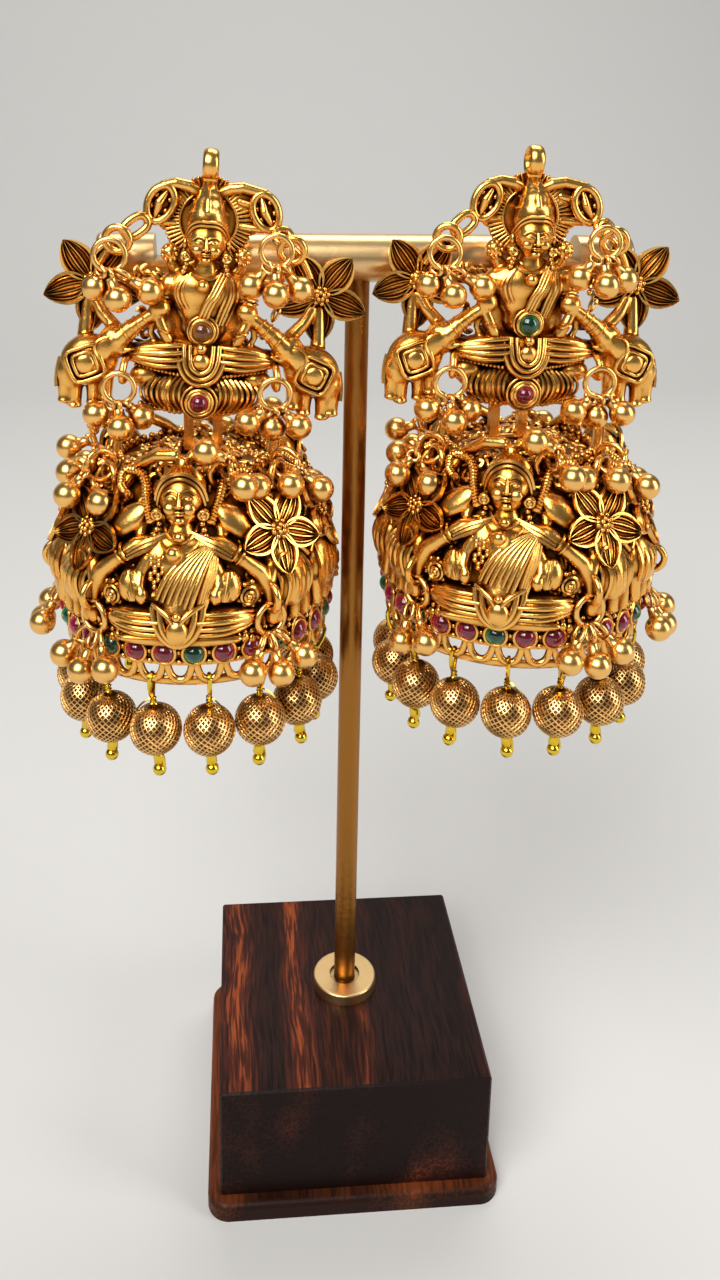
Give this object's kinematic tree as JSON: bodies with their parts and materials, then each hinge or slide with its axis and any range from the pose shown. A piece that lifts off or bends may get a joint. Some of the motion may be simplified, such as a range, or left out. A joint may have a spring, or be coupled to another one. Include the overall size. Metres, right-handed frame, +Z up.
{
  "type": "pair of jhumka earrings on a display stand",
  "caption": "Pair of gold jhumka earrings with figure studs, hollow relief domes, rim stones and bead fringes, hung on a T-bar display stand with a wooden block base.",
  "frame": {"origin": "centre of the plinth's bottom face, under the rod", "axes": "+Z up, X along the cross bar, -Y towards the front of the earrings"},
  "size_m": [0.0977, 0.0534, 0.1662],
  "materials": {
    "antique_gold": "cast, oxidised recesses and polished high spots",
    "polished_gold": "polished plated wire and balls",
    "hammered_gold": "textured bronze-gold beads",
    "satin_gold": "brushed, satin lacquered",
    "blasted_gold": "bead-blasted",
    "ruby_stone": "domed and glossy, red and green by turns round the rim",
    "green_stone": "domed and glossy",
    "amber_stone": "domed and glossy",
    "dark_rosewood": "oiled, dark with reddish streaks",
    "red_brown_board": "satin, reddish brown"
  },
  "bodies": {
    "stand": {"plinth_board": "red_brown_board", "wood_block": "dark_rosewood", "rod_flange": "satin_gold", "upright_rod": "blasted_gold", "cross_bar": "satin_gold", "left_stud_panel": "antique_gold", "left_ear_post": "antique_gold", "left_waist_stone": "amber_stone", "left_base_stone": "ruby_stone", "left_stud_clusters": "polished_gold", "right_stud_panel": "antique_gold", "right_ear_post": "antique_gold", "right_waist_stone": "green_stone", "right_base_stone": "ruby_stone", "right_stud_clusters": "polished_gold"},
    "left_drop": {"left_link_straps": "antique_gold", "left_dome_shell": "antique_gold", "left_rim_stones": "ruby_stone", "left_dome_clusters": "polished_gold", "left_bead_pins": "polished_gold", "left_bead_01": "hammered_gold", "left_bead_02": "hammered_gold", "left_bead_03": "hammered_gold", "left_bead_04": "hammered_gold", "left_bead_05": "hammered_gold", "left_bead_06": "hammered_gold", "left_bead_07": "hammered_gold", "left_bead_08": "hammered_gold", "left_bead_09": "hammered_gold", "left_bead_10": "hammered_gold", "left_bead_11": "hammered_gold", "left_bead_12": "hammered_gold", "left_bead_13": "hammered_gold", "left_bead_14": "hammered_gold", "left_bead_15": "hammered_gold"},
    "right_drop": {"right_link_straps": "antique_gold", "right_dome_shell": "antique_gold", "right_rim_stones": "ruby_stone", "right_dome_clusters": "polished_gold", "right_bead_pins": "polished_gold", "right_bead_01": "hammered_gold", "right_bead_02": "hammered_gold", "right_bead_03": "hammered_gold", "right_bead_04": "hammered_gold", "right_bead_05": "hammered_gold", "right_bead_06": "hammered_gold", "right_bead_07": "hammered_gold", "right_bead_08": "hammered_gold", "right_bead_09": "hammered_gold", "right_bead_10": "hammered_gold", "right_bead_11": "hammered_gold", "right_bead_12": "hammered_gold", "right_bead_13": "hammered_gold", "right_bead_14": "hammered_gold", "right_bead_15": "hammered_gold"}
  },
  "joints": [
    {"name": "left_swing", "type": "hinge", "parent": "stand", "child": "left_drop", "pos_m": [-0.0229, -0.0052, 0.129], "axis": [1, 0, 0], "range_deg": [-10, 25]},
    {"name": "right_swing", "type": "hinge", "parent": "stand", "child": "right_drop", "pos_m": [0.0224, -0.0052, 0.13], "axis": [1, 0, 0], "range_deg": [-10, 25]}
  ]
}
